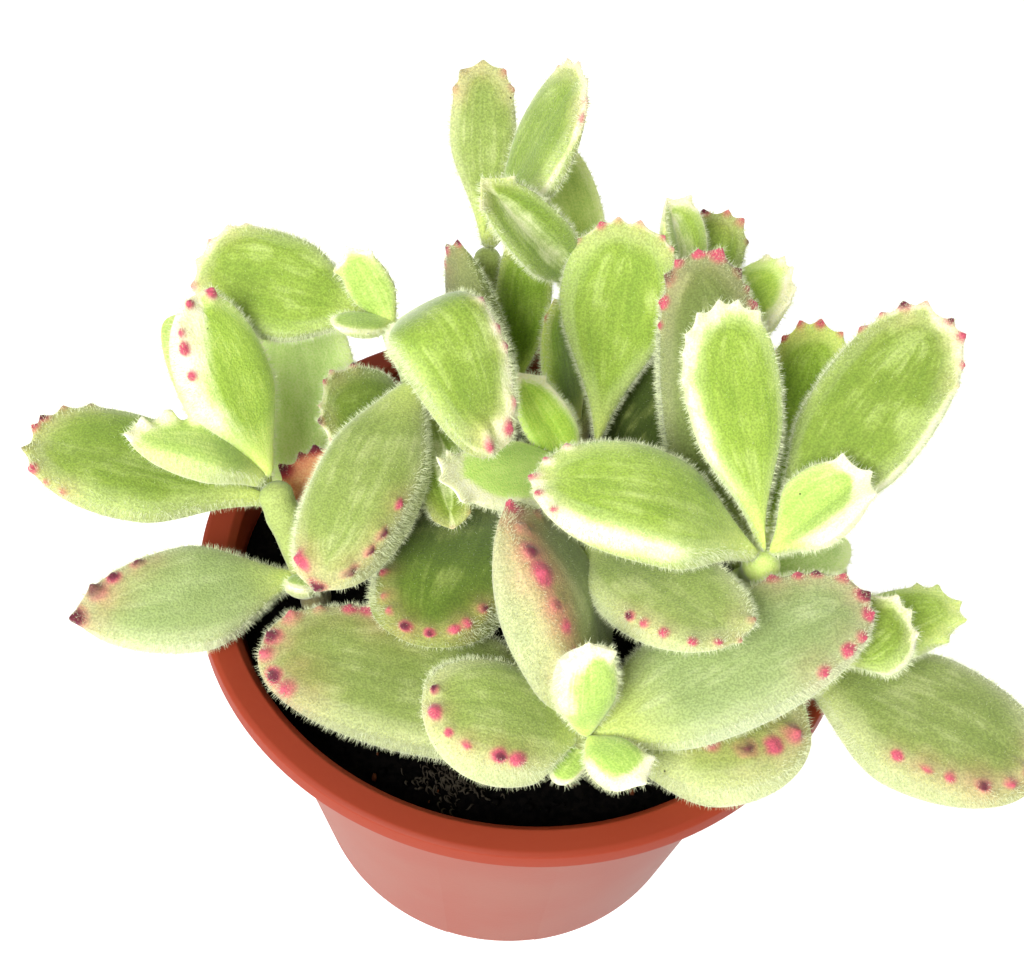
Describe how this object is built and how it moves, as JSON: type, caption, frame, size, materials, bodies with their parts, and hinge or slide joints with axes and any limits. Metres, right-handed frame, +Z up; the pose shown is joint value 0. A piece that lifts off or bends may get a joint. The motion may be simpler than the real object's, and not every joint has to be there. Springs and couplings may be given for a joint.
{
  "type": "potted bears paw succulent",
  "caption": "Variegated velvety bear's paw succulent with thick toothed spoon-shaped leaves, growing in a small terracotta-coloured plastic nursery pot.",
  "frame": {"origin": "centre of the pot's underside, on the surface that it stands on", "axes": "+Z up along the pot's axis; -Y towards the front, where the soil shows most; +X to the right seen from the front"},
  "size_m": [0.1209, 0.0877, 0.1083],
  "materials": {
    "pot_plastic": "injection-moulded terracotta-coloured polypropylene, soft sheen",
    "soil": "damp dark peat potting mix with brown fibres",
    "stem": "living yellow-green succulent stem covered in fine white hair",
    "leaf": "living variegated leaf: green with cream edges, magenta teeth and a coat of fine white hair"
  },
  "bodies": {
    "root": {"pot": "pot_plastic", "soil": "soil", "stem_back_tall": "stem", "stem_back_young": "stem", "stem_middle": "stem", "stem_back_right": "stem", "stem_right": "stem", "stem_back_left": "stem", "stem_left": "stem", "stem_inner": "stem", "stem_front": "stem", "stem_right_low": "stem", "stem_centre": "stem", "leaf_01": "leaf", "leaf_02": "leaf", "leaf_05": "leaf", "leaf_06": "leaf", "leaf_52": "leaf", "leaf_03": "leaf", "leaf_04": "leaf", "leaf_51": "leaf", "leaf_07": "leaf", "leaf_08": "leaf", "leaf_33": "leaf", "leaf_32": "leaf", "leaf_50": "leaf", "leaf_09": "leaf", "leaf_10": "leaf", "leaf_11": "leaf", "leaf_12": "leaf", "leaf_13": "leaf", "leaf_14": "leaf", "leaf_15": "leaf", "leaf_16": "leaf", "leaf_17": "leaf", "leaf_18": "leaf", "leaf_19": "leaf", "leaf_22": "leaf", "leaf_30": "leaf", "leaf_29": "leaf", "leaf_28": "leaf", "leaf_31": "leaf", "leaf_23": "leaf", "leaf_24": "leaf", "leaf_25": "leaf", "leaf_26": "leaf", "leaf_27": "leaf", "leaf_36": "leaf", "leaf_35": "leaf", "leaf_42": "leaf", "leaf_34": "leaf", "leaf_38": "leaf", "leaf_37": "leaf", "leaf_43": "leaf", "leaf_44": "leaf", "leaf_39": "leaf", "leaf_40": "leaf", "leaf_45": "leaf", "leaf_46": "leaf", "leaf_47": "leaf"}
  },
  "joints": []
}
